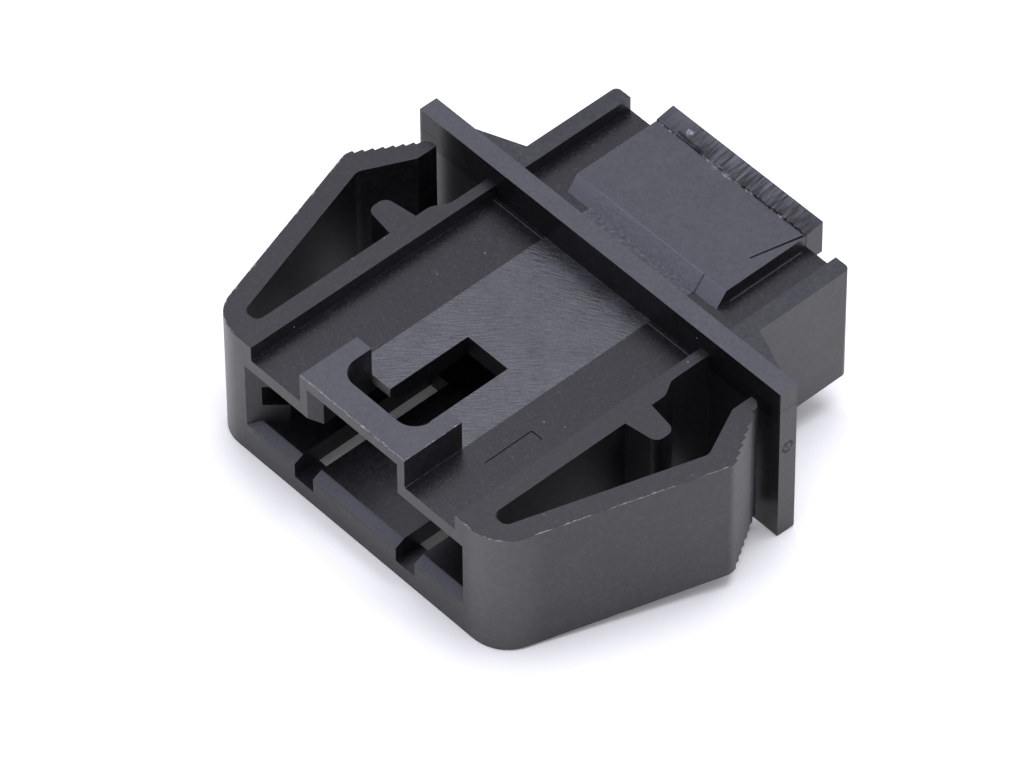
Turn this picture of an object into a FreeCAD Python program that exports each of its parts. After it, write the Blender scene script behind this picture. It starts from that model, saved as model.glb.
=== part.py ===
import FreeCAD, Part
import os
import Sketcher

# Panel-mount connector housing, one moulding in black plastic.
# X runs across the housing, Y runs from the mating mouth to the wire side, Z is up.
# The origin is the middle of the flange face that sits against the panel.

os.makedirs("parts", exist_ok=True)

TERMINAL_COUNT = 4
TOOTH_COUNT = 8
TOLERANCE = 1e-4

doc = FreeCAD.newDocument("ConnectorHousing")
sheet = doc.addObject("Spreadsheet::Sheet", "Sizes")


class Size:
    """A length in millimetres together with the sheet expression that gives it."""

    def __init__(self, value, text):
        self.value = value
        self.text = text

    @staticmethod
    def wrap(other):
        """Turn a plain number into a Size."""
        if isinstance(other, Size):
            return other
        return Size(float(other), repr(float(other)))

    def join(self, other, value, sign):
        """Name the sum, difference, product or quotient of two sizes."""
        return Size(value, "(%s %s %s)" % (self.text, sign, other.text))

    def __add__(self, other):
        other = Size.wrap(other)
        return self.join(other, self.value + other.value, "+")

    def __sub__(self, other):
        other = Size.wrap(other)
        return self.join(other, self.value - other.value, "-")

    def __mul__(self, other):
        other = Size.wrap(other)
        return self.join(other, self.value * other.value, "*")

    def __truediv__(self, other):
        other = Size.wrap(other)
        return self.join(other, self.value / other.value, "/")

    def __neg__(self):
        return Size(-self.value, "(0 - %s)" % self.text)


ZERO = Size(0.0, "0")
rows = []


def size(name, value):
    """Write one named length to the sheet and return it."""
    rows.append(name)
    cell = "B%d" % len(rows)
    sheet.set("A%d" % len(rows), name)
    sheet.set(cell, str(value))
    sheet.setAlias(cell, name)
    return Size(value, "Sizes." + name)


# Mating half
body_half_height = size("body_half_height", 4.2)
body_foot = size("body_foot", 0.06)
front_length = size("front_length", 17.2)
ridge_inner_half = size("ridge_inner_half", 7.9)
side_wall_half = size("side_wall_half", 9.1)
waist_half = size("waist_half", 8.55)
waist_start = size("waist_start", 2.7)
waist_slope = size("waist_slope", 0.9)
waist_radius = size("waist_radius", 0.8)
channel_depth = size("channel_depth", 1.0)
sill_depth = size("sill_depth", 1.7)

# Mating cavity, the guide ribs that leave a groove in each side, and the lead-in
cavity_half_width = size("cavity_half_width", 7.9)
cavity_half_height = size("cavity_half_height", 1.9)
rib_reach = size("rib_reach", 0.98)
groove_half_height = size("groove_half_height", 0.7)
bulkhead_front = size("bulkhead_front", 5.4)
bulkhead_thickness = size("bulkhead_thickness", 1.4)
lead_in_depth = size("lead_in_depth", 0.63)
lead_in_width = size("lead_in_width", 0.57)
lead_in_rise = size("lead_in_rise", 0.32)
lead_in_crown = size("lead_in_crown", 0.45)

# Raised bridge over the plug's latch
bridge_half = size("bridge_half", 4.05)
bridge_rise = size("bridge_rise", 1.0)
bridge_length = size("bridge_length", 4.0)
bridge_inner_half = size("bridge_inner_half", 2.93)
bridge_roof = size("bridge_roof", 1.1)
bridge_bar = size("bridge_bar", 1.65)
bridge_corner = size("bridge_corner", 1.2)
latch_slot_half = size("latch_slot_half", 1.54)
latch_slot_length = size("latch_slot_length", 5.45)
latch_lead_rise = size("latch_lead_rise", 0.65)
latch_lead_length = size("latch_lead_length", 0.8)

# Key slots in the floor
terminal_pitch = size("terminal_pitch", 3.96)
key_slot_width = size("key_slot_width", 1.45)
key_slot_length = size("key_slot_length", 9.55)

# Snap arms
arm_root_gap = size("arm_root_gap", 1.0)
arm_knee_half = size("arm_knee_half", 15.0)
arm_knee_back = size("arm_knee_back", 4.4)
arm_tip_inset = size("arm_tip_inset", 2.47)
arm_tip_gap = size("arm_tip_gap", 0.4)
arm_tip_width = size("arm_tip_width", 0.38)
arm_tip_length = size("arm_tip_length", 1.35)
arm_knee_wall = size("arm_knee_wall", 1.4)
arm_knee_setback = size("arm_knee_setback", 0.35)
arm_root_wall = size("arm_root_wall", 0.86)
arm_root_thickness = size("arm_root_thickness", 1.48)
front_corner_radius = size("front_corner_radius", 2.4)
knee_radius = size("knee_radius", 0.8)
inner_knee_radius = size("inner_knee_radius", 0.7)
tooth_rise = size("tooth_rise", 0.29)
tooth_run = size("tooth_run", 0.47)
tooth_catch = size("tooth_catch", 0.19)
root_radius = size("root_radius", 0.45)

# Stop nub that limits how far an arm bends in
nub_reach = size("nub_reach", 2.07)
nub_back = size("nub_back", 4.6)
nub_width = size("nub_width", 1.85)
nub_taper = size("nub_taper", 0.3)
nub_radius = size("nub_radius", 0.55)

# Panel flange
flange_half_width = size("flange_half_width", 13.9)
flange_half_height = size("flange_half_height", 5.4)
flange_foot = size("flange_foot", 0.2)
flange_thickness = size("flange_thickness", 1.2)
gusset_reach = size("gusset_reach", 2.0)

# Wire side
rear_half_width = size("rear_half_width", 9.0)
rear_half_height = size("rear_half_height", 4.05)
rear_length = size("rear_length", 8.5)
rear_channel_depth = size("rear_channel_depth", 0.95)
rear_corner_radius = size("rear_corner_radius", 0.35)
terminal_width = size("terminal_width", 3.1)
terminal_height = size("terminal_height", 3.4)
blade_width = size("blade_width", 2.3)
blade_height = size("blade_height", 0.9)

# Raised pad and lip on the wire side
pad_half_width = size("pad_half_width", 5.75)
pad_drop = size("pad_drop", 0.05)
pad_front_gap = size("pad_front_gap", 1.95)
pad_slope = size("pad_slope", 0.7)
inlay_half_width = size("inlay_half_width", 4.05)
inlay_rise = size("inlay_rise", 0.06)
lip_half_width = size("lip_half_width", 5.77)
lip_overhang = size("lip_overhang", 1.1)
lip_rise = size("lip_rise", 0.3)
lip_step = size("lip_step", 0.08)
lip_depth = size("lip_depth", 2.3)
bond = size("bond", 0.1)

doc.recompute()
body = doc.addObject("PartDesign::Body", "housing")
body.Label = "housing"


def plane(role):
    """Return one of the body's own origin planes."""
    return [item for item in body.Origin.OriginFeatures if item.Role == role][0]


def sketch_on(name, role, offset):
    """Start a sketch parallel to an origin plane, moved along the plane's normal."""
    sketch = body.newObject("Sketcher::SketchObject", name)
    sketch.AttachmentSupport = [(plane(role), "")]
    sketch.MapMode = "FlatFace"
    sketch.setExpression(".AttachmentOffset.Base.z", offset.text)
    return sketch


def outline(sketch, points):
    """Add a closed outline whose corners are all driven by the sheet."""
    first = sketch.GeometryCount
    count = len(points)
    corners = [FreeCAD.Vector(across.value, up.value, 0) for across, up in points]
    sketch.addGeometry([Part.LineSegment(corners[index - 1], corners[index])
                        for index in range(count)], False)
    rules = []
    for index in range(count):
        following = first + (index + 1) % count
        rules.append(Sketcher.Constraint("Coincident", first + index, 2, following, 1))
    lengths = []
    for index, (across, up) in enumerate(points):
        rules.append(Sketcher.Constraint("DistanceX", first + index, 2, across.value))
        rules.append(Sketcher.Constraint("DistanceY", first + index, 2, up.value))
        lengths += [across, up]
    numbers = sketch.addConstraint(rules)
    for number, length in zip(numbers[count:], lengths):
        sketch.setExpression("Constraints[%d]" % number, length.text)


def box_points(low_across, high_across, low_up, high_up):
    """Corners of an upright rectangle."""
    return [(low_across, low_up), (high_across, low_up),
            (high_across, high_up), (low_across, high_up)]


def add(name, role, offset, length, *outlines):
    """Pad outlines along the plane's normal."""
    sketch = sketch_on(name + "_outline", role, offset)
    for points in outlines:
        outline(sketch, points)
    pad = body.newObject("PartDesign::Pad", name)
    pad.Profile = sketch
    pad.setExpression("Length", length.text)
    sketch.Visibility = False
    doc.recompute()
    return pad


def cut(name, role, offset, length, *outlines):
    """Pocket outlines against the plane's normal and check that material went."""
    before = body.Shape.Volume
    sketch = sketch_on(name + "_outline", role, offset)
    for points in outlines:
        outline(sketch, points)
    pocket = body.newObject("PartDesign::Pocket", name)
    pocket.Profile = sketch
    pocket.setExpression("Length", length.text)
    sketch.Visibility = False
    doc.recompute()
    if body.Shape.Volume >= before:
        raise RuntimeError(name + " removed nothing")
    return pocket


def mirror(name, *features):
    """Repeat features on the other side of the middle plane."""
    copy = body.newObject("PartDesign::Mirrored", name)
    copy.Originals = list(features)
    copy.MirrorPlane = (plane("YZ_Plane"), [""])
    body.Tip = copy
    doc.recompute()
    return copy


def upright_edges(corners):
    """Name the upright edges of the body that stand on the given corners, both sides."""
    wanted = [(side * across.value, along.value) for across, along in corners for side in (1, -1)]
    names = []
    for index, edge in enumerate(body.Tip.Shape.Edges, start=1):
        low, high = edge.Vertexes[0].Point, edge.Vertexes[-1].Point
        if abs(low.x - high.x) > TOLERANCE or abs(low.y - high.y) > TOLERANCE:
            continue
        if any(abs(low.x - x) < TOLERANCE and abs(low.y - y) < TOLERANCE for x, y in wanted):
            names.append("Edge%d" % index)
    return names


def round_edges(name, names, radius):
    """Round the named edges of the body as it stands."""
    carrier = body.Tip
    fillet = body.newObject("PartDesign::Fillet", name)
    fillet.Base = (carrier, names)
    fillet.setExpression("Radius", radius.text)
    body.Tip = fillet
    doc.recompute()
    return fillet


# Main block of the mating half, as wide as its waist by the flange
front = -front_length
channel_top = body_half_height - channel_depth
body_bottom = -body_half_height - body_foot
body_height = body_half_height - body_bottom
add("mating_block", "XY_Plane", body_bottom, body_height,
    box_points(-waist_half, waist_half, front, ZERO))

# Thick side wall with the stop nub
wall_seat = waist_half - bond
root_front = front + arm_root_thickness
nub_front = -(nub_back + nub_width)
nub_end = side_wall_half + nub_reach
side_wall = add(
    "side_wall", "XY_Plane", body_bottom, body_height,
    [(wall_seat, front + bond), (side_wall_half, front + bond),
     (side_wall_half, nub_front), (nub_end, nub_front + nub_taper),
     (nub_end, -nub_back - nub_taper), (side_wall_half, -nub_back),
     (side_wall_half, -waist_start - waist_slope), (waist_half, -waist_start),
     (wall_seat, -waist_start)])

# Snap arm with its stepped knee
arm_inner_root_half = side_wall_half + arm_root_gap
arm_root_half = arm_inner_root_half + arm_root_wall
arm_tip_half = arm_knee_half - arm_tip_inset
arm_inner_knee_half = arm_knee_half - arm_knee_wall
arm_inner_knee_back = arm_knee_back + arm_knee_setback
steps = []
for tooth in range(TOOTH_COUNT):
    across = arm_knee_half - tooth_rise * tooth
    along = -arm_knee_back + tooth_run * tooth
    steps.append((across, along))
    steps.append((across - tooth_rise + tooth_catch, along + tooth_run))
arm = add(
    "snap_arm", "XY_Plane", body_bottom, body_height,
    [(wall_seat, front), (arm_root_half, front)] + steps
    + [(arm_tip_half, -arm_tip_gap), (arm_tip_half - arm_tip_width, -arm_tip_gap),
       (arm_tip_half - arm_tip_width, -arm_tip_gap - arm_tip_length),
       (arm_inner_knee_half, -arm_inner_knee_back),
       (arm_inner_root_half, root_front), (wall_seat, root_front)])
mirror("other_side", side_wall, arm)

# Panel flange and the block behind it
add("flange", "XY_Plane", -flange_half_height - flange_foot, flange_half_height * 2 + flange_foot,
    box_points(-flange_half_width, flange_half_width, ZERO, flange_thickness))
rear_end = flange_thickness + rear_length
add("wire_block", "XY_Plane", -rear_half_height, rear_half_height * 2,
    box_points(-rear_half_width, rear_half_width, flange_thickness, rear_end))
gusset_seat = rear_half_width - bond
gusset = add("gusset", "XY_Plane", -rear_half_height, rear_half_height * 2,
             [(gusset_seat, flange_thickness - bond), (flange_half_width, flange_thickness - bond),
              (flange_half_width, flange_thickness),
              (rear_half_width, flange_thickness + gusset_reach),
              (gusset_seat, flange_thickness + gusset_reach)])
mirror("other_gusset", gusset)

# Rounds that stand upright
round_edges("front_corners", upright_edges([(arm_root_half, front)]), front_corner_radius)
round_edges("knees", upright_edges([(arm_knee_half, -arm_knee_back)]), knee_radius)
round_edges("inner_knees", upright_edges([(arm_inner_knee_half, -arm_inner_knee_back)]),
            inner_knee_radius)
round_edges("arm_roots", upright_edges([(arm_inner_root_half, root_front),
                                        (side_wall_half, root_front)]), root_radius)
round_edges("waist_bends", upright_edges([(side_wall_half, -waist_start - waist_slope),
                                          (waist_half, -waist_start)]), waist_radius)
round_edges("nub_tips", upright_edges([(nub_end, nub_front + nub_taper),
                                       (nub_end, -nub_back - nub_taper)]), nub_radius)
round_edges("rear_corners", upright_edges([(rear_half_width, rear_end)]), rear_corner_radius)

# Channels between the long ridges, above and below
channel_outline = box_points(-ridge_inner_half, ridge_inner_half, front, ZERO)
cut("top_channel", "XY_Plane", body_half_height, channel_depth, channel_outline)
cut("bottom_channel", "XY_Plane", -channel_top, channel_depth + body_foot,
    box_points(-ridge_inner_half, ridge_inner_half, front + sill_depth, ZERO))
rear_channel_top = rear_half_height - rear_channel_depth
rear_channel = box_points(-ridge_inner_half, ridge_inner_half, flange_thickness, rear_end)
cut("rear_top_channel", "XY_Plane", rear_half_height, rear_channel_depth, rear_channel)
cut("rear_bottom_channel", "XY_Plane", -rear_channel_top, rear_channel_depth, rear_channel)

# Bridge over the middle of the mouth
bridge_top = body_half_height + bridge_rise
bridge_back = front + bridge_length
add("bridge", "XY_Plane", channel_top - bond, bridge_top - channel_top + bond,
    box_points(-bridge_half, bridge_half, front, bridge_back))

# Pad on the wire side, with a sloped front, the raised strip that runs from it to the flange,
# and the lip whose top rises behind it
pad_top = rear_half_height - pad_drop
pad_front = flange_thickness + pad_front_gap
pad_seat = rear_channel_top - bond
add("pad", "YZ_Plane", -pad_half_width, pad_half_width * 2,
    [(pad_front, pad_seat), (rear_end, pad_seat), (rear_end, pad_top),
     (pad_front + pad_slope, pad_top), (pad_front, rear_channel_top)])
inlay_top = rear_channel_top + inlay_rise
add("inlay", "YZ_Plane", -inlay_half_width, inlay_half_width * 2,
    [(flange_thickness - bond, pad_seat), (pad_front + pad_slope, pad_seat),
     (pad_front + pad_slope, pad_top), (pad_front + pad_slope - inlay_rise, pad_top),
     (pad_front, inlay_top), (flange_thickness - bond, inlay_top)])
lip_top = pad_top + lip_rise
lip_low = lip_top - lip_depth
lip_end = rear_end + lip_overhang
add("lip", "YZ_Plane", -lip_half_width, lip_half_width * 2,
    [(rear_end - bond, lip_low), (lip_end, lip_low), (lip_end, lip_top),
     (rear_end - bond, pad_top + lip_step)])

# Mating cavity: a flat slot with a groove in each side and a taller middle under the bridge
bridge_ceiling = bridge_top - bridge_roof
rib_half = cavity_half_width - rib_reach
cavity_depth = front_length - bulkhead_front


def mouth(spread, rise, crown):
    """Outline of the mating opening, wider, deeper and higher by the given amounts."""
    side = cavity_half_width + spread
    floor = -cavity_half_height - rise
    roof = cavity_half_height + crown
    inner = bridge_inner_half + spread
    ceiling = bridge_ceiling + crown
    return [(-side, floor), (side, floor), (side, roof), (inner, roof),
            (inner, ceiling), (-inner, ceiling), (-inner, roof), (-side, roof)]


cut("mating_cavity", "XZ_Plane", front_length, cavity_depth,
    box_points(-rib_half, rib_half, -cavity_half_height, cavity_half_height))
cut("side_grooves", "XZ_Plane", front_length, cavity_depth,
    box_points(-cavity_half_width, cavity_half_width, -groove_half_height, groove_half_height))
cut("latch_passage", "XZ_Plane", front_length, bridge_length,
    box_points(-bridge_inner_half, bridge_inner_half, ZERO, bridge_ceiling))
lead_seat = cavity_half_height - bond
lead_end = bridge_back + latch_lead_length
lead_top = cavity_half_height + latch_lead_rise
cut("latch_lead", "YZ_Plane", bridge_inner_half, bridge_inner_half * 2,
    [(bridge_back - bond, lead_seat), (lead_end, lead_seat), (lead_end, cavity_half_height),
     (bridge_back, lead_top), (bridge_back - bond, lead_top)])
outer_mouth = sketch_on("mouth_outline", "XZ_Plane", front_length)
outline(outer_mouth, mouth(lead_in_width, lead_in_rise, lead_in_crown))
inner_mouth = sketch_on("throat_outline", "XZ_Plane", front_length - lead_in_depth)
outline(inner_mouth, mouth(ZERO, ZERO, ZERO))
lead_in = body.newObject("PartDesign::SubtractiveLoft", "lead_in")
lead_in.Profile = outer_mouth
lead_in.Sections = [inner_mouth]
lead_in.Ruled = True
doc.recompute()
funnel_half = cavity_half_width + lead_in_width
funnel_depth = lead_in_depth * ((lead_in_width + rib_reach) / lead_in_width)
cut("rib_funnel", "XY_Plane", cavity_half_height, cavity_half_height * 2,
    [(-funnel_half, front), (funnel_half, front),
     (rib_half, front + funnel_depth), (-rib_half, front + funnel_depth)])

# Windows over the latch
window_front = front + bridge_bar
cut("bridge_window", "XY_Plane", bridge_top, bridge_roof + bond,
    box_points(-bridge_inner_half, bridge_inner_half, window_front, bridge_back))
round_edges("window_corners", upright_edges([(bridge_inner_half, window_front)]), bridge_corner)
cut("latch_slot", "XY_Plane", channel_top, channel_top,
    box_points(-latch_slot_half, latch_slot_half, bridge_back, bridge_back + latch_slot_length))

# Key slots that run in from the mouth
slot_near = terminal_pitch - key_slot_width / 2
slot_far = terminal_pitch + key_slot_width / 2
key_slot = cut("key_slot", "XY_Plane", ZERO, channel_top,
               box_points(slot_near, slot_far, front, front + key_slot_length))
mirror("other_key_slot", key_slot)

# Terminal cavities from the wire side, each with a blade slot through the bulkhead
first_terminal = -terminal_pitch * ((TERMINAL_COUNT - 1) / 2)
cavity_front = -bulkhead_front + bulkhead_thickness


def terminal_row(width, low, high):
    """Outlines of one opening per terminal."""
    half = width / 2
    rectangles = []
    for position in range(TERMINAL_COUNT):
        middle = first_terminal + terminal_pitch * position
        rectangles.append(box_points(middle - half, middle + half, low, high))
    return rectangles


terminal_half = terminal_height / 2
blade_half = blade_height / 2
cut("terminal_cavities", "XZ_Plane", -cavity_front, rear_end - cavity_front,
    *terminal_row(terminal_width, -terminal_half, terminal_half))
cut("blade_slots", "XZ_Plane", bulkhead_front + bond, bulkhead_thickness + bond * 2,
    *terminal_row(blade_width, -blade_half, blade_half))

doc.recompute()
for item in doc.Objects:
    if "Invalid" in item.State or "Error" in item.State:
        raise RuntimeError("%s is %s" % (item.Name, item.State))
shape = body.Shape
if shape.isNull() or not shape.isValid() or len(shape.Solids) != 1:
    raise RuntimeError("the housing is not one valid solid")
shape.exportStep("parts/housing.step")
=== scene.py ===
import math
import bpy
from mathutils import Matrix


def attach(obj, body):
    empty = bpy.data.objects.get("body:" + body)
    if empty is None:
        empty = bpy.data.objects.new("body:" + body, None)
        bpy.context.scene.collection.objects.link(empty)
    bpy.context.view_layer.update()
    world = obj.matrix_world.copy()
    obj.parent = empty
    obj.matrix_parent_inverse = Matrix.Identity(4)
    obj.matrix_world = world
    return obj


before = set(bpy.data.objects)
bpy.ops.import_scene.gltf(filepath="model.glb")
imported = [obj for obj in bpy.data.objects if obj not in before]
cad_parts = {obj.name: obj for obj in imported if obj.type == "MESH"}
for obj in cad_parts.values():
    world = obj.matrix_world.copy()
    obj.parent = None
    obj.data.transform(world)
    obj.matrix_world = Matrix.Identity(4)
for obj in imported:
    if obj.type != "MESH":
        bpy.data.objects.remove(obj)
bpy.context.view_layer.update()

from types import SimpleNamespace

import bmesh
import bpy
from mathutils import Matrix, Vector, noise

MM = 0.001
scene = bpy.context.scene
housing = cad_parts["housing"]


# Places on the part, in millimetres of its frame

FRONT = -17.2
LEAD_REAR = -16.6
BRIDGE_REAR = -13.2
FLANGE_FRONT = 0.0
FLANGE_REAR = 1.2
PAD_FRONT = 3.84
LIP_STEP = 9.65
BLOCK_REAR = 10.8
LEAD_Z = -2.3
CHANNEL_Z = 3.2
PAD_Z = 4.0
BODY_Z = 4.2
BRIDGE_Z = 5.2
CREST_Z = 5.4
STRIP_HALF = 4.06
PAD_HALF = 5.8
MOUTH_HALF = 8.9
FLANGE_HALF = 13.9


# Soft mould radius along every edge

EDGE_RADIUS = 0.045 * MM
EDGE_SEGMENTS = 2
EDGE_ANGLE = math.radians(24)
FLAT_ANGLE = math.radians(1)
MERGE_GAP = 0.001 * MM
EDGE_SLOT = 1


def soften_edges(piece):
    """Give a sharp moulding the small radius that its tool leaves along each edge."""
    weld = piece.modifiers.new("join_faces", "WELD")
    weld.merge_threshold = MERGE_GAP
    flat = piece.modifiers.new("flat_faces", "DECIMATE")
    flat.decimate_type = "DISSOLVE"
    flat.angle_limit = FLAT_ANGLE
    bevel = piece.modifiers.new("edge_radius", "BEVEL")
    bevel.width = EDGE_RADIUS
    bevel.segments = EDGE_SEGMENTS
    bevel.limit_method = "ANGLE"
    bevel.angle_limit = EDGE_ANGLE
    bevel.use_clamp_overlap = True
    bevel.material = EDGE_SLOT
    normals = piece.modifiers.new("flat_shading", "WEIGHTED_NORMAL")
    normals.keep_sharp = True
    normals.weight = 100
    for face in piece.data.polygons:
        face.use_smooth = True


# Material nodes

NOISE_LOW, NOISE_HIGH = 0.3, 0.7
SOFT = 0.03


class Recipe:
    """Wires one material's nodes; places are in millimetres of the part frame, masks go from 0 to 1."""

    def __init__(self, name):
        self.material = bpy.data.materials.new(name)
        self.material.use_nodes = True
        self.tree = self.material.node_tree
        self.shader = self.tree.nodes["Principled BSDF"]
        source = self.tree.nodes.new("ShaderNodeTexCoord")
        self.place = self.vector("SCALE", source.outputs["Object"], "Scale", 1 / MM)
        self.x, self.y, self.z = self.split(self.place)
        self.far = self.calc("ABSOLUTE", self.x)
        self.out_x, _, self.out_z = self.split(source.outputs["Normal"])

    def put(self, value, socket):
        """Link a socket, or set it when the value is plain."""
        if isinstance(value, (int, float, tuple)):
            socket.default_value = value
        else:
            self.tree.links.new(value, socket)

    def split(self, vector):
        node = self.tree.nodes.new("ShaderNodeSeparateXYZ")
        self.put(vector, node.inputs[0])
        return node.outputs

    def vector(self, operation, first, socket, second):
        node = self.tree.nodes.new("ShaderNodeVectorMath")
        node.operation = operation
        self.put(first, node.inputs[0])
        self.put(second, node.inputs[socket])
        return node.outputs[0]

    def calc(self, operation, *values):
        node = self.tree.nodes.new("ShaderNodeMath")
        node.operation = operation
        for value, socket in zip(values, node.inputs):
            self.put(value, socket)
        return node.outputs[0]

    def ramp(self, value, low, high, start=0.0, stop=1.0):
        """Go from start to stop as the value goes from low to high."""
        node = self.tree.nodes.new("ShaderNodeMapRange")
        self.put(value, node.inputs["Value"])
        node.inputs["From Min"].default_value = low
        node.inputs["From Max"].default_value = high
        node.inputs["To Min"].default_value = start
        node.inputs["To Max"].default_value = stop
        return node.outputs[0]

    def below(self, value, limit, soft=SOFT):
        return self.ramp(value, limit + soft, limit)

    def beyond(self, value, limit, soft=SOFT):
        return self.ramp(value, limit - soft, limit)

    def band(self, value, low, high, soft=SOFT):
        """1 between two limits, with a soft edge outside them."""
        away = self.calc("ABSOLUTE", self.calc("SUBTRACT", value, (low + high) / 2))
        return self.below(away, (high - low) / 2, soft)

    def level(self, height, reach):
        """1 at one height of the part."""
        return self.band(self.z, height - reach, height + reach)

    def times(self, value, factor):
        return self.calc("MULTIPLY", value, factor)

    def both(self, *masks):
        result = masks[0]
        for mask in masks[1:]:
            result = self.times(result, mask)
        return result

    def either(self, *masks):
        result = masks[0]
        for mask in masks[1:]:
            result = self.calc("MAXIMUM", result, mask)
        return result

    def total(self, *values):
        result = values[0]
        for value in values[1:]:
            result = self.calc("ADD", result, value)
        return result

    def opposite(self, mask):
        return self.calc("SUBTRACT", 1.0, mask)

    def noise(self, scale, detail, stretch=(1, 1, 1), turn=0.0, shift=0.0):
        """Noise with the given number of cells a millimetre."""
        mapping = self.tree.nodes.new("ShaderNodeMapping")
        self.put(self.place, mapping.inputs["Vector"])
        mapping.inputs["Rotation"].default_value = (0, 0, turn)
        mapping.inputs["Location"].default_value = (shift, shift, shift)
        node = self.tree.nodes.new("ShaderNodeTexNoise")
        node.inputs["Scale"].default_value = scale
        node.inputs["Detail"].default_value = detail
        self.put(self.vector("MULTIPLY", mapping.outputs[0], 1, stretch), node.inputs["Vector"])
        return node.outputs["Fac"]

    def grain(self, scale, detail, shift=0.0):
        """Noise from -1 to 1."""
        return self.ramp(self.noise(scale, detail, shift=shift), NOISE_LOW, NOISE_HIGH, -1, 1)

    def line(self, start, stop, width, low, high, wander=0.0, taper=1.0):
        """A thin line seen from above, between two heights; taper is its start width over its full width."""
        run = Vector(stop) - Vector(start)
        length = run.length
        run.normalize()
        ahead_x = self.calc("SUBTRACT", self.x, start[0])
        ahead_y = self.calc("SUBTRACT", self.y, start[1])
        along = self.total(self.times(ahead_x, run.x), self.times(ahead_y, run.y))
        across = self.calc("SUBTRACT", self.times(ahead_y, run.x), self.times(ahead_x, run.y))
        if wander:
            shake = self.ramp(self.noise(4, 3, shift=start[1]), NOISE_LOW, NOISE_HIGH, -wander, wander)
            across = self.calc("ADD", across, shake)
        if taper != 1.0:
            across = self.calc("DIVIDE", across, self.ramp(along, 0, length, taper, 1.0))
        return self.both(self.band(along, 0, length), self.band(across, -width / 2, width / 2, width / 3),
                         self.band(self.z, low, high))


# Charcoal plastic

PLAIN_TONE = 0.013
DARKEST = 0.003
TINT = (0.93, 0.94, 1.14)
# Tone steps by place. The lead-in chamfer is painted lighter as painted light. The inside of the mouth and the
# flange's front face are painted darker as painted shade.
TONE_STEPS = {"bridge": 0.036, "shaded_flange_front": -0.004, "side": -0.005, "ridge": -0.009, "crest": 0.034, "pad": 0.028,
              "lead": 0.055, "shaded_inside": -0.006, "channel": -0.012, "dust": 0.026, "speck": 0.08}
GRAIN_STEPS = {"fine": 0.008, "mottle": 0.007, "cloud": 0.003}
PLAIN_GLOSS = 0.5
GLOSS_STEPS = {"brushed": 0.35, "shaded_flange_front": -0.3, "side": 0.08, "corner": 0.34, "foot": 0.4, "lip": -0.24,
               "window": -0.16, "flexure": -0.34}
SMOOTHEST, ROUGHEST = 0.36, 0.44
ROUGHNESS_STEPS = {"channel": -0.1, "foot": 0.35}
# Painted highlight: every rounded edge face is painted a little paler. Rubbed patches add pale wear on top.
EDGE_HIGHLIGHT = 0.012
RUBBED_PALER = 0.05
BRUSH_NEAR_BRIDGE = math.radians(-50)
BRUSH_NEAR_FLANGE = math.radians(-28)
BRUSH_STRETCH = (0.1, 1, 1)
STRIPE_STRETCH = (1, 0.1, 0.2)
BUMP_STRENGTH = 0.6
BUMP_HEIGHT = 0.006 * MM
GRAIN_RELIEF, CHANNEL_RELIEF, MOTTLE_RELIEF = 0.24, 0.08, 0.1
STREAK_RELIEF, TORN_RELIEF, MARK_RELIEF = 0.5, 2, -3


# Marks drawn as lines: start, stop, width, lowest and highest place, and how far they wander

WITNESS_CORNER = (5.58, -9.76)
WITNESS_LEG = ((5.58, -13.0), WITNESS_CORNER, 0.05, 3.1, 3.3)
WITNESS_FOOT = (WITNESS_CORNER, (6.35, -9.75), 0.05, 3.1, 3.3)
# Painted shade: a thin dark line stands in for the shaded side of a small step at the right foot's edge.
FOOT_STEP_SHADE = ((4.09, 3.1), (4.09, 3.9), 0.06, 3.0, 4.0)
PAD_SLIT = ((4.87, 6.38), (5.61, 9.51), 0.11, 3.9, 4.04)
SLIT_TAPER = 0.7
# Partly painted shadow: the left part of the torn lip step is painted dark, both as its torn crevice and as a
# painted shadow.
LEFT_TEAR_AND_SHADOW = ((-4.3, 9.8), (-2.3, 9.64), 0.12, 3.9, 4.4, 0.06)
RIGHT_TEAR = ((0.9, 9.6), (5.4, 9.62), 0.06, 3.9, 4.4, 0.1)
PALE_TEAR = ((-1.6, 9.54), (0.1, 9.52), 0.16, 3.9, 4.4, 0.12)
LIP_CHIP = ((-3.95, 10.15), (-3.55, 10.25), 0.2, 3.9, 4.6, 0.14)
INLAY_SPOTS = ((-4.0, 1.4), (4.0, 1.4), 0.36, 3.1, 3.4, 0.15)
END_MARK_Y, END_MARK_Z = 0.55, 1.0
# The first is a painted highlight at the foot of walls, the second pales torn plastic, and the third pales spots.
WALL_FOOT_HIGHLIGHT, STRESS_PALER, SPOT_PALER = 0.08, 0.3, 0.06


def grains(mix):
    """Grain of the spark-eroded mould, brush marks and the lip's torn stripes."""
    toward_flange = mix.beyond(mix.y, -2, 5)
    brush = mix.total(
        mix.both(mix.noise(10, 2, BRUSH_STRETCH, BRUSH_NEAR_FLANGE), toward_flange),
        mix.both(mix.noise(10, 2, BRUSH_STRETCH, BRUSH_NEAR_BRIDGE), mix.opposite(toward_flange)))
    return SimpleNamespace(
        fine=mix.grain(9, 3),
        mottle=mix.grain(3.4, 3, 7),
        cloud=mix.grain(0.6, 2, 5),
        grit=mix.grain(3.6, 4, 9),
        streak=mix.ramp(brush, 0.35, 0.65, -1, 1),
        stripe=mix.ramp(mix.noise(5.5, 4, STRIPE_STRETCH), NOISE_LOW, NOISE_HIGH))


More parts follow.
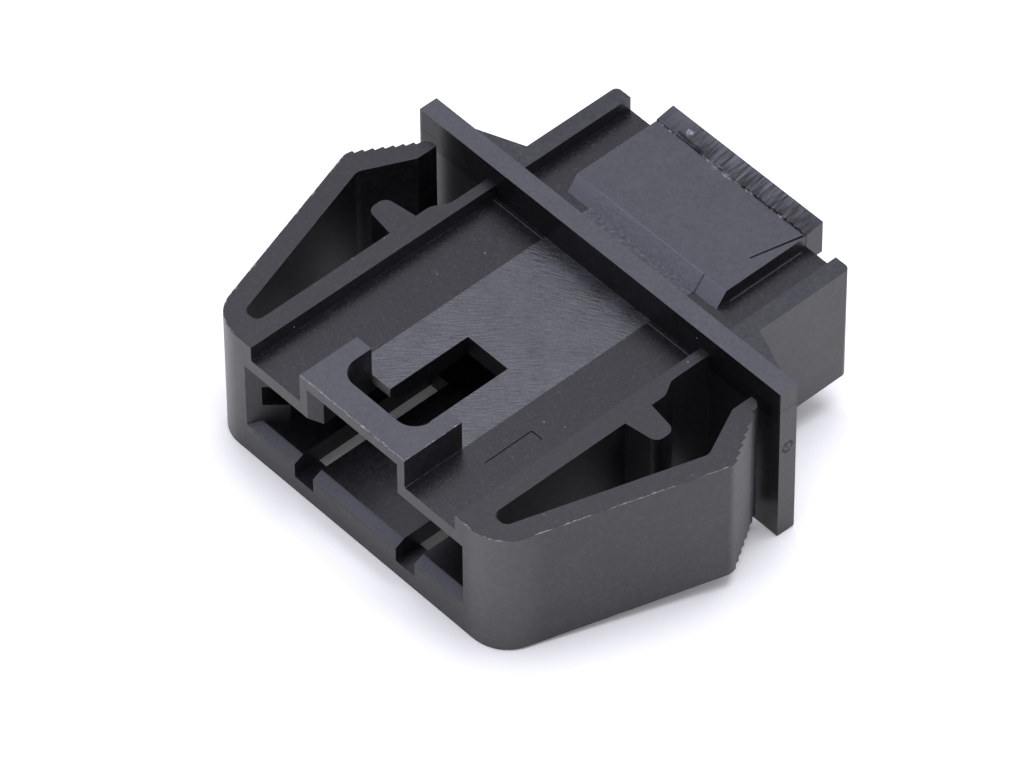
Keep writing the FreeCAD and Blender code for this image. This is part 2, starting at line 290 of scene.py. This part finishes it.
def places(mix):
    """Where each finish of the mould lies, and where light or shade is painted on."""
    top = mix.beyond(mix.out_z, 0.8, 0.2)
    side = mix.below(mix.calc("ABSOLUTE", mix.out_z), 0.3, 0.3)
    strip = mix.below(mix.far, STRIP_HALF)
    channel = mix.both(top, mix.band(mix.z, CHANNEL_Z - 0.15, CHANNEL_Z + 0.05))
    pad = mix.both(top, mix.level(PAD_Z, 0.05), mix.band(mix.y, PAD_FRONT, LIP_STEP),
                   mix.below(mix.far, PAD_HALF))
    return SimpleNamespace(
        top=top, side=side, strip=strip, channel=channel, pad=pad,
        brushed=mix.both(top, strip, mix.level(CHANNEL_Z, 0.2),
                         mix.band(mix.y, BRIDGE_REAR - 0.05, FLANGE_FRONT)),
        bridge=mix.both(top, mix.level(BRIDGE_Z, 0.1), mix.band(mix.y, FRONT - 0.3, BRIDGE_REAR + 0.2)),
        inlay=mix.both(mix.beyond(mix.out_z, 0.5, 0.2), strip, mix.band(mix.z, CHANNEL_Z - 0.2, BODY_Z),
                       mix.band(mix.y, FLANGE_REAR + 0.05, PAD_FRONT)),
        foot=mix.both(mix.band(mix.out_z, 0.45, 0.75), mix.band(mix.y, 3.1, 3.9)),
        lip=mix.both(top, mix.band(mix.z, PAD_Z + 0.04, PAD_Z + 0.5), mix.below(mix.far, PAD_HALF + 0.1),
                     mix.band(mix.y, LIP_STEP - 0.15, BLOCK_REAR + 0.2)),
        ridge=mix.both(top, mix.level(BODY_Z, 0.05), mix.beyond(mix.far, 7.8, 0.3)),
        crest=mix.both(top, mix.level(CREST_Z, 0.05),
                       mix.band(mix.y, FLANGE_FRONT - 0.05, FLANGE_REAR + 0.05)),
        # Painted light: the lead-in chamfer at the mouth is made lighter for the light it catches.
        lead=mix.both(top, mix.band(mix.z, LEAD_Z, -1.93), mix.below(mix.y, LEAD_REAR, 0.1)),
        # Painted shade: the inside of the mouth is made darker where shade falls in it.
        shaded_inside=mix.both(mix.band(mix.z, -2.0, CHANNEL_Z - 0.1), mix.beyond(mix.y, LEAD_REAR, 0.3),
                        mix.below(mix.y, -6, 2), mix.below(mix.far, MOUTH_HALF, 0.1)),
        corner=mix.both(side, mix.below(mix.y, -16.5, 2), mix.beyond(mix.far, 9.8, 1.1)),
        window=mix.both(side, mix.band(mix.z, 1.5, CHANNEL_Z - 0.05), mix.below(mix.far, 3.8, 0.1),
                        mix.band(mix.y, BRIDGE_REAR + 0.2, -4)),
        flexure=mix.both(side, mix.beyond(mix.far, 9.2, 0.6), mix.below(mix.both(mix.x, mix.out_x), -5, 3)),
        # Painted shade: the flange's front face above the channel is made darker, in tone and in gloss, for the
        # dark body it faces.
        shaded_flange_front=mix.both(side, mix.band(mix.y, FLANGE_FRONT - 0.05, FLANGE_FRONT + 0.05),
                      mix.beyond(mix.z, CHANNEL_Z, 0.2), mix.below(mix.far, FLANGE_HALF - 0.2, 0.1)),
        end=mix.beyond(mix.far, FLANGE_HALF - 0.05, 0.05),
        dust=mix.both(channel, mix.ramp(mix.noise(5, 3, shift=11), 0.58, 0.72)),
        speck=mix.both(top, mix.ramp(mix.noise(5.5, 2, shift=3), 0.73, 0.8), mix.opposite(pad)))


def steps(mix, values, amounts):
    """The sum of the values named in a table, each times its amount."""
    return mix.total(*(mix.times(vars(values)[name], amount) for name, amount in amounts.items()))


def end_mark(mix, grain):
    """Distance from the middle of the unreadable mark on the flange end, with a ragged edge."""
    off_y = mix.calc("POWER", mix.calc("SUBTRACT", mix.y, END_MARK_Y), 2.0)
    off_z = mix.calc("POWER", mix.calc("SUBTRACT", mix.z, END_MARK_Z), 2.0)
    return mix.total(mix.calc("SQRT", mix.total(off_y, off_z)), mix.times(grain.mottle, 0.1))


def plain_tone(mix, at, grain):
    """How light the plastic is before its marks, painted light and shade included."""
    lip = mix.total(mix.ramp(mix.x, -3.9, -2.6, 0.024, -0.034),
                    mix.both(grain.stripe, mix.ramp(mix.x, -3.9, -2.6, 0.2, 1.0), 0.12),
                    mix.ramp(mix.y, 9.8, 10.7, -0.012, 0.016))
    return mix.total(
        PLAIN_TONE, steps(mix, grain, GRAIN_STEPS), steps(mix, at, TONE_STEPS),
        # The brushed zone's lighter tone is partly its brushed finish and partly a painted sheen for its broad
        # reflection.
        mix.both(at.brushed, mix.total(0.03, mix.times(grain.streak, 0.013), mix.times(grain.cloud, 0.006))),
        mix.both(at.inlay, mix.total(0.045, mix.times(grain.grit, 0.013))),
        # Painted light: the pad's front slope is painted much lighter for the light and sheen it catches. In the
        # middle strip, which is painted less, part of it is a rougher, paler finish.
        mix.both(at.foot, mix.ramp(at.strip, 0, 1, 0.135, 0.085)),
        mix.both(at.lip, mix.ramp(mix.x, 4.2, 5.6, 1.0, 0.2), lip))


def dark_marks(mix, at, from_end_mark):
    """Parting lines of the mould, the slit in the pad, the torn step of the lip with a painted shadow in its left
    part, a painted shade line at the right foot's edge, and the flange end's ring.
    """
    flange = mix.both(mix.band(mix.z, 4.02, 4.05, 0.02), at.side, mix.beyond(mix.far, 9.8, 0.3),
                      mix.band(mix.y, FLANGE_FRONT - 0.1, FLANGE_REAR + 0.05))
    lead = mix.both(mix.band(mix.z, LEAD_Z - 0.08, LEAD_Z - 0.04, 0.02), mix.below(mix.y, FRONT + 0.05, 0.05),
                    mix.below(mix.far, 7.9, 0.1))
    ring = mix.both(at.end, mix.either(mix.band(from_end_mark, 0.26, 0.36, 0.07),
                                       mix.below(from_end_mark, 0.06, 0.1)))
    right_tear = mix.both(mix.line(*RIGHT_TEAR), mix.ramp(mix.noise(2.2, 2, shift=4), 0.42, 0.5))
    return mix.either(
        mix.line(*WITNESS_LEG), mix.line(*WITNESS_FOOT), mix.line(*PAD_SLIT, taper=SLIT_TAPER), right_tear,
        mix.times(mix.line(*LEFT_TEAR_AND_SHADOW), 0.6), mix.times(mix.line(*FOOT_STEP_SHADE), 0.4),
        mix.times(flange, 0.7), mix.times(lead, 0.7), mix.times(ring, 0.8))


def pale_marks(mix, at, grain, from_end_mark):
    """Painted highlights as thin bright lines along the foot of walls, torn plastic paled by stress, and pale
    spots.
    """
    # Painted highlight: thin bright lines at the foot of the flange, along the pad's side and along the bridge
    # legs.
    base = mix.both(mix.band(mix.y, -0.21, -0.17, 0.02), at.channel, mix.beyond(mix.far, 4.1, 0.05))
    pad_side = mix.both(mix.band(mix.x, PAD_HALF - 0.02, PAD_HALF + 0.03, 0.02), at.channel,
                        mix.band(mix.y, 4.1, 9.2))
    leg = mix.both(mix.band(mix.far, STRIP_HALF, STRIP_HALF + 0.03, 0.02), at.channel,
                   mix.ramp(mix.y, -16.2, -17.0, 0.25, 1.0), mix.band(mix.y, FRONT, BRIDGE_REAR - 0.1))
    chip = mix.both(mix.line(*LIP_CHIP), mix.ramp(grain.mottle, -0.6, 0.6, 0.1, 0.8))
    tear = mix.both(mix.line(*PALE_TEAR), mix.ramp(grain.grit, -0.3, 0.6, 0, 0.5))
    spots = mix.both(mix.line(*INLAY_SPOTS), at.top, mix.ramp(grain.grit, 0.3, 0.8))
    smudge = mix.both(at.end, mix.below(from_end_mark, 0.3, 0.12), mix.ramp(grain.grit, -0.2, 0.6))
    rim = mix.both(mix.band(mix.y, FRONT, FRONT + 0.1), at.bridge,
                   mix.ramp(grain.mottle, -0.6, 0.4, 0.3, 1.0))
    return mix.total(mix.times(mix.either(base, pad_side, leg), WALL_FOOT_HIGHLIGHT),
                     mix.times(mix.either(chip, tear), STRESS_PALER),
                     mix.times(mix.either(spots, smudge, rim), SPOT_PALER))


def moulding(name, worn_and_highlit):
    """Charcoal plastic with the finishes of its mould and some painted light and shade; the last argument is for
    the narrow edge faces, which get a painted highlight along every edge and pale rubbed patches.
    """
    mix = Recipe(name)
    grain = grains(mix)
    at = places(mix)
    from_end_mark = end_mark(mix, grain)
    dark = dark_marks(mix, at, from_end_mark)
    tone = mix.total(plain_tone(mix, at, grain), pale_marks(mix, at, grain, from_end_mark))
    # Painted highlight on every edge face, with pale rubbed patches over it.
    if worn_and_highlit:
        rubbed = mix.ramp(mix.noise(1.8, 3, shift=2), 0.4, 0.65)
        tone = mix.total(tone, EDGE_HIGHLIGHT, mix.times(rubbed, RUBBED_PALER))

    clean = mix.opposite(mix.times(dark, 0.9))
    tone = mix.both(mix.calc("MAXIMUM", tone, DARKEST), clean)
    gloss = mix.total(PLAIN_GLOSS, steps(mix, at, GLOSS_STEPS))
    roughness = mix.total(mix.ramp(grain.fine, -1, 1, SMOOTHEST, ROUGHEST), steps(mix, at, ROUGHNESS_STEPS))
    mix.put(mix.vector("SCALE", TINT, "Scale", tone), mix.shader.inputs["Base Color"])
    mix.put(mix.both(clean, gloss), mix.shader.inputs["Specular IOR Level"])
    mix.put(roughness, mix.shader.inputs["Roughness"])

    height = mix.total(
        mix.both(grain.fine, mix.ramp(at.channel, 0, 1, GRAIN_RELIEF, CHANNEL_RELIEF)),
        mix.times(grain.mottle, MOTTLE_RELIEF), mix.both(at.brushed, grain.streak, STREAK_RELIEF),
        mix.both(at.lip, grain.stripe, TORN_RELIEF), mix.both(at.inlay, grain.grit, TORN_RELIEF),
        mix.times(dark, MARK_RELIEF))
    bump = mix.tree.nodes.new("ShaderNodeBump")
    bump.inputs["Strength"].default_value = BUMP_STRENGTH
    bump.inputs["Distance"].default_value = BUMP_HEIGHT
    mix.put(height, bump.inputs["Height"])
    mix.put(bump.outputs["Normal"], mix.shader.inputs["Normal"])
    return mix.material


FLASH_DARK, FLASH_PALE = 0.05, 0.34


def flash_plastic():
    """Thin torn plastic, paled by stress."""
    mix = Recipe("flash_plastic")
    grey = mix.ramp(mix.noise(6, 3), 0.35, 0.65, FLASH_DARK, FLASH_PALE)
    mix.put(grey, mix.shader.inputs["Base Color"])
    mix.put(mix.ramp(grey, FLASH_DARK, FLASH_PALE, 0.4, 0.6), mix.shader.inputs["Roughness"])
    return mix.material


soften_edges(housing)
housing.data.materials.clear()
housing.data.materials.append(moulding("housing_plastic", False))
housing.data.materials.append(moulding("housing_edges", True))


# Mould flash: thin ragged rims that stand up along the top edges

FLASH_STEP = 0.09
FLASH_ROOT = 0.06
FLASH_LEAN = 0.05
FLASH_SET_BACK = 0.005
PATCH_RATE, RISE_RATE, WIDTH_RATE, LEAN_RATE = 0.9, 4.1, 2.7, 2.1
ARM_CORNER = (9.2, -14.8)
ARM_CORNER_RADIUS = 2.4
ARM_FRONT = (11.49, -15.52, BODY_Z)
ARM_KNEE = (14.94, -4.6, BODY_Z)
ARM_FLASH = (0.06, 0.1, 0.22)
CREST_FLASH_Z = CREST_Z - 0.03
# Start, stop, inward turn, reach, depth, amount and seed
FLASH_RIMS = (
    ((-4.0, FRONT, BRIDGE_Z), (4.0, FRONT, BRIDGE_Z), 1, 0.06, 0.12, 0.3, 9),
    ((4.05, FRONT, BRIDGE_Z), (4.05, -13.25, BRIDGE_Z), 1, 0.05, 0.08, 0.2, 14),
    ((7.95, FRONT, BODY_Z), (9.2, FRONT, BODY_Z), 1, 0.05, 0.1, 0.3, 19),
    ((-5.6, LIP_STEP, PAD_Z), (5.5, LIP_STEP, PAD_Z), -1, 0.1, 0.16, 0.2, 21),
    ((-13.8, FLANGE_FRONT, CREST_FLASH_Z), (13.8, FLANGE_FRONT, CREST_FLASH_Z), 1, 0.03, 0.06, -0.05, 25),
    ((FLANGE_HALF, 0.1, CREST_FLASH_Z), (FLANGE_HALF, 1.15, CREST_FLASH_Z), 1, 0.03, 0.1, 0.4, 29))
CRUMB_LUMPS = 0.9
CRUMB_FLATNESS = 0.6
FIRST_CRUMB_SEED = 40
# Place and size
CRUMBS = ((-11.34, 2.19, 4.05, 0.09), (-11.1, 2.0, 4.05, 0.1), (-10.12, 1.17, 5.35, 0.07),
          (-8.87, 2.39, 4.05, 0.07), (8.18, -1.17, 4.2, 0.1), (7.61, 0.0, 4.72, 0.06), (4.01, -3.73, 3.2, 0.09),
          (5.55, -8.87, 3.2, 0.09), (6.54, -8.31, 3.2, 0.08), (6.22, -11.71, 3.2, 0.06),
          (-5.94, -5.96, 3.2, 0.08), (-5.35, -3.1, 3.2, 0.08), (-9.05, -9.13, 4.2, 0.1),
          (-7.9, -14.21, 3.61, 0.08), (-9.04, -6.9, 4.2, 0.07), (10.41, -16.87, 1.14, 0.09),
          (11.97, -10.52, 4.2, 0.06), (10.91, -13.77, 4.2, 0.07), (13.14, -10.14, 4.2, 0.08),
          (13.71, 0.56, 5.35, 0.08), (13.68, 0.94, 5.35, 0.08), (13.9, 1.17, 4.94, 0.08), (13.9, 1.18, 4.4, 0.06))


def wave(along, rate, seed):
    """Smooth noise along a path, about -0.5 to 0.5."""
    return noise.noise(Vector((along * rate, seed * 7.3, seed * 1.7)))


def arc(centre, radius, start, stop, height, steps=12):
    """Points of an arc seen from above, its angles in degrees from +X."""
    turns = [math.radians(start + (stop - start) * step / steps) for step in range(steps + 1)]
    return [(centre[0] + radius * math.cos(turn), centre[1] + radius * math.sin(turn), height) for turn in turns]


def evenly(points, step):
    """The same path with points at an even distance."""
    result = []
    left = 0.0
    for start, stop in zip(points, points[1:]):
        start, stop = Vector(start), Vector(stop)
        run = (stop - start).length
        while left <= run:
            result.append(start.lerp(stop, left / run))
            left += step
        left -= run
    return result


def flash_rim(mesh, path, inward_turn, reach, depth, amount, seed):
    """Add one ragged rim; inward_turn is +1 or -1, for the side of the path where the plastic lies."""
    points = evenly(path, FLASH_STEP)
    rows = []
    for index, point in enumerate(points):
        ahead = points[min(index + 1, len(points) - 1)] - points[max(index - 1, 0)]
        inward = Vector((-ahead.y, ahead.x, 0)).normalized() * inward_turn
        along = index * FLASH_STEP
        patch = min(max((wave(along, PATCH_RATE, seed) + amount) * 3, 0), 1)
        rise = reach * patch * (0.45 + 1.1 * abs(wave(along, RISE_RATE, seed + 1)))
        width = depth * (0.35 + 1.6 * abs(wave(along, WIDTH_RATE, seed + 2))) * (0.4 + 0.6 * patch)
        lean = FLASH_LEAN * max(wave(along, LEAN_RATE, seed + 3), 0)
        near = lean + FLASH_SET_BACK
        section = [(lean + width, -FLASH_ROOT / 3), (lean + width * 0.45, rise), (near, rise * 0.6),
                   (near, -FLASH_ROOT)]
        rows.append([mesh.verts.new((point + inward * across + Vector((0, 0, up))) * MM) for across, up in section])
    for row, following in zip(rows, rows[1:]):
        for one in range(4):
            two = (one + 1) % 4
            mesh.faces.new((row[one], row[two], following[two], following[one]))
    mesh.faces.new(rows[0])
    mesh.faces.new(reversed(rows[-1]))


def crumb(mesh, place, size, seed):
    """A speck of torn plastic that clings to the moulding."""
    grown = bmesh.ops.create_icosphere(mesh, subdivisions=2, radius=size / 2 * MM,
                                       matrix=Matrix.Translation(place * MM))
    for vertex in grown["verts"]:
        arm = vertex.co - place * MM
        lump = 1 + CRUMB_LUMPS * noise.noise(arm / (size * MM) * 2.5 + Vector((seed, 0, 0)))
        vertex.co = place * MM + Vector((arm.x * lump, arm.y * lump, arm.z * lump * CRUMB_FLATNESS))


def mould_flash():
    """All rims and crumbs as one piece."""
    mesh = bmesh.new()
    for mirror in (1, -1):
        path = arc(ARM_CORNER, ARM_CORNER_RADIUS, -88, -18, BODY_Z) + [ARM_FRONT, ARM_KNEE]
        flash_rim(mesh, [(mirror * x, y, z) for x, y, z in path], mirror, *ARM_FLASH, 3 + mirror)
    for start, stop, *rest in FLASH_RIMS:
        flash_rim(mesh, [start, stop], *rest)
    for number, (x, y, z, size) in enumerate(CRUMBS):
        crumb(mesh, Vector((x, y, z)), size, FIRST_CRUMB_SEED + number)
    bmesh.ops.recalc_face_normals(mesh, faces=mesh.faces)
    data = bpy.data.meshes.new("mould_flash")
    mesh.to_mesh(data)
    mesh.free()
    flash = bpy.data.objects.new("mould_flash", data)
    scene.collection.objects.link(flash)
    data.materials.append(flash_plastic())
    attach(flash, "root")


mould_flash()


# Floor, tilted as the part rests on its front edge and on the flange

FRONT_EDGE = Vector((0, FRONT * MM, -4.26 * MM))
FLANGE_EDGE = Vector((0, 0, -5.6 * MM))
FLOOR_SLOPE = math.atan2(FRONT_EDGE.z - FLANGE_EDGE.z, FLANGE_EDGE.y - FRONT_EDGE.y)
FLOOR_HALF = 1.5
CARD = (0.9, 0.9, 0.89, 1)
SEEN_CARD = (1.12, 1.12, 1.1, 1)
FLOOR_GLOW = 0.045


def to_the_eye(tree):
    """1 for what the camera sees directly, or in a reflection, or through something clear."""
    ray = tree.nodes.new("ShaderNodeLightPath")
    mirrored = tree.nodes.new("ShaderNodeMath")
    mirrored.operation = "MAXIMUM"
    tree.links.new(ray.outputs["Is Camera Ray"], mirrored.inputs[0])
    tree.links.new(ray.outputs["Is Glossy Ray"], mirrored.inputs[1])
    clear = tree.nodes.new("ShaderNodeMath")
    clear.operation = "MAXIMUM"
    tree.links.new(mirrored.outputs[0], clear.inputs[0])
    tree.links.new(ray.outputs["Is Transmission Ray"], clear.inputs[1])
    return clear.outputs[0]


def floor_white():
    """White card, shown to the camera a little overexposed as in the photo."""
    material = bpy.data.materials.new("floor_white")
    material.use_nodes = True
    tree = material.node_tree
    tree.nodes.remove(tree.nodes["Principled BSDF"])
    card = tree.nodes.new("ShaderNodeBsdfDiffuse")
    card.inputs["Color"].default_value = CARD
    seen = tree.nodes.new("ShaderNodeBsdfDiffuse")
    seen.inputs["Color"].default_value = SEEN_CARD
    glow = tree.nodes.new("ShaderNodeEmission")
    glow.inputs["Strength"].default_value = FLOOR_GLOW
    bright = tree.nodes.new("ShaderNodeAddShader")
    tree.links.new(seen.outputs[0], bright.inputs[0])
    tree.links.new(glow.outputs[0], bright.inputs[1])
    choice = tree.nodes.new("ShaderNodeMixShader")
    tree.links.new(to_the_eye(tree), choice.inputs["Fac"])
    tree.links.new(card.outputs[0], choice.inputs[1])
    tree.links.new(bright.outputs[0], choice.inputs[2])
    tree.links.new(choice.outputs[0], tree.nodes["Material Output"].inputs["Surface"])
    return material


def pale_floor():
    """A white sweep that shows white to the camera but keeps the shadow."""
    half = FLOOR_HALF
    mesh = bpy.data.meshes.new("floor")
    mesh.from_pydata([(-half, -half, 0), (half, -half, 0), (half, half, 0), (-half, half, 0)],
                     [], [(0, 1, 2, 3)])
    floor = bpy.data.objects.new("floor", mesh)
    scene.collection.objects.link(floor)
    floor.matrix_world = Matrix.Translation(FLANGE_EDGE) @ Matrix.Rotation(-FLOOR_SLOPE, 4, "X")
    mesh.materials.append(floor_white())


pale_floor()


# Camera, fitted to the photo

CAMERA_AZIMUTH = math.radians(47.22)
CAMERA_ELEVATION = math.radians(47.10)
CAMERA_ROLL = math.radians(0.12)
CAMERA_DISTANCE = 461.94 * MM
FOCAL_PIXELS = 8828
IMAGE_WIDTH = 1024
AIM_ABOVE = 4.2 * MM
AXIS_RIGHT = 85.45
AXIS_UP = 118.34
SENSOR = 36
CLIP_START, CLIP_END = 0.02, 20


def photo_camera():
    """Stand where the photo was taken from and aim at the middle of its frame."""
    azimuth, elevation = CAMERA_AZIMUTH, CAMERA_ELEVATION
    back = Vector((math.sin(azimuth) * math.cos(elevation),
                   -math.cos(azimuth) * math.cos(elevation), math.sin(elevation)))
    right = Vector((math.cos(azimuth), math.sin(azimuth), 0))
    up = back.cross(right)
    turn = Matrix.Rotation(CAMERA_ROLL, 3, back)
    right, up = turn @ right, turn @ up
    eye = Vector((0, 0, AIM_ABOVE)) + back * CAMERA_DISTANCE
    forward = -back - right * (AXIS_RIGHT / FOCAL_PIXELS) - up * (AXIS_UP / FOCAL_PIXELS)
    back = -forward.normalized()
    right = up.cross(back).normalized()
    up = back.cross(right)
    camera = bpy.data.objects.new("camera", bpy.data.cameras.new("camera"))
    scene.collection.objects.link(camera)
    camera.matrix_world = Matrix((
        (right.x, up.x, back.x, eye.x), (right.y, up.y, back.y, eye.y),
        (right.z, up.z, back.z, eye.z), (0, 0, 0, 1)))
    camera.data.sensor_width = SENSOR
    camera.data.lens = FOCAL_PIXELS * SENSOR / IMAGE_WIDTH
    camera.data.clip_start = CLIP_START
    camera.data.clip_end = CLIP_END
    scene.camera = camera


photo_camera()


# Light

ROOM_COLOUR = (0.955, 0.95, 1.05, 1)
ROOM_STRENGTH = 0.6
SEEN_ROOM_COLOUR = (0.93, 0.955, 1.12, 1)
SEEN_ROOM = 0.84
LAMP_COLOUR = (0.95, 0.95, 1.05)
LAMP_PLACE = Vector((-0.04, 0.08, 0.6))
LAMP_SIZE = 0.5
LAMP_POWER = 3


def studio_world():
    """A plain room, white where the camera or a reflection looks at it."""
    world = bpy.data.worlds.new("studio")
    world.use_nodes = True
    tree = world.node_tree
    room = tree.nodes["Background"]
    room.inputs["Color"].default_value = ROOM_COLOUR
    room.inputs["Strength"].default_value = ROOM_STRENGTH
    seen = tree.nodes.new("ShaderNodeBackground")
    seen.inputs["Color"].default_value = SEEN_ROOM_COLOUR
    seen.inputs["Strength"].default_value = SEEN_ROOM
    choice = tree.nodes.new("ShaderNodeMixShader")
    tree.links.new(to_the_eye(tree), choice.inputs["Fac"])
    tree.links.new(room.outputs[0], choice.inputs[1])
    tree.links.new(seen.outputs[0], choice.inputs[2])
    tree.links.new(choice.outputs[0], tree.nodes["World Output"].inputs["Surface"])
    scene.world = world


def overhead_lamp():
    """One soft box above the part that points at its middle."""
    light = bpy.data.lights.new("overhead", "AREA")
    light.shape = "RECTANGLE"
    light.size = LAMP_SIZE
    light.size_y = LAMP_SIZE
    light.energy = LAMP_POWER
    light.color = LAMP_COLOUR
    lamp = bpy.data.objects.new("overhead", light)
    scene.collection.objects.link(lamp)
    lamp.location = LAMP_PLACE
    lamp.rotation_euler = (-LAMP_PLACE).to_track_quat("-Z", "Y").to_euler()


studio_world()
overhead_lamp()

scene.view_settings.view_transform = "Standard"
